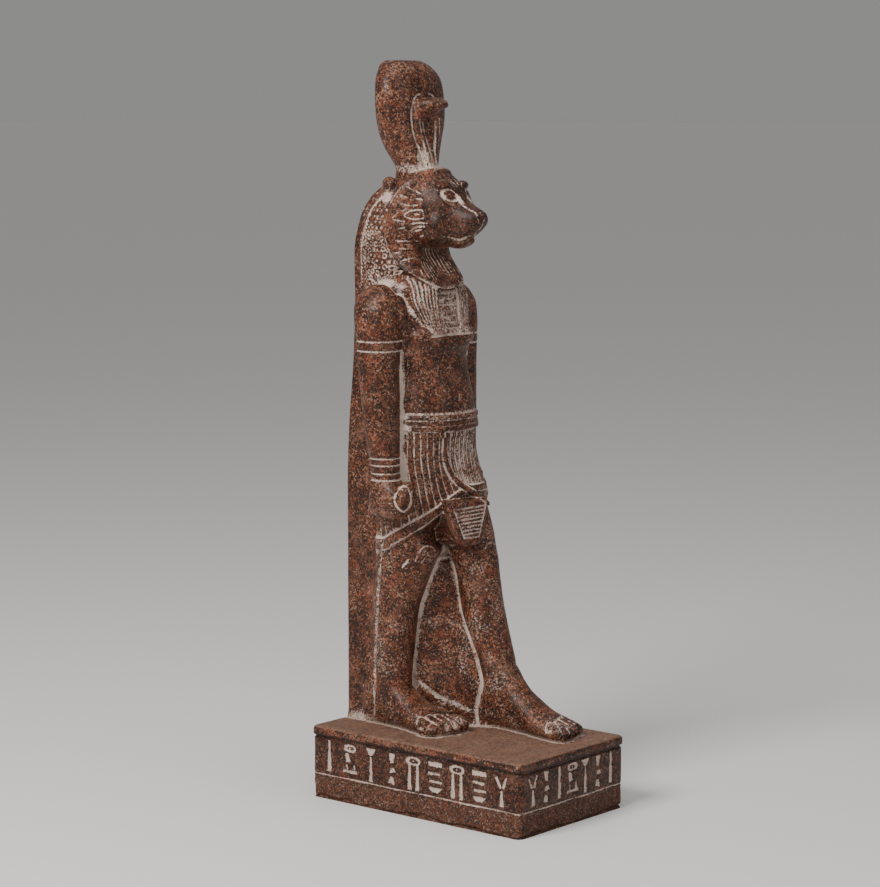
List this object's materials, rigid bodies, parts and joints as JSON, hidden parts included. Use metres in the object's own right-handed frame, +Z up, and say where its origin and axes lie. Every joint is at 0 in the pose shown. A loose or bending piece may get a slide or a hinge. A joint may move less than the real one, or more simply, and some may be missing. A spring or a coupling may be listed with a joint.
{
  "type": "carved stone statue",
  "caption": "Striding lioness-headed goddess with a sun disc and cobra, carved in red-brown granite in one piece with its back pillar and inscribed plinth.",
  "frame": {"origin": "centre of the plinth's underside", "axes": "+Z up along the figure, which faces -Y with its right side towards -X"},
  "size_m": [0.1164, 0.183, 0.5],
  "materials": {
    "stone": "soft polish, red-brown granite with dark and orange-red grains"
  },
  "bodies": {
    "root": {"statue": "stone"}
  },
  "joints": []
}
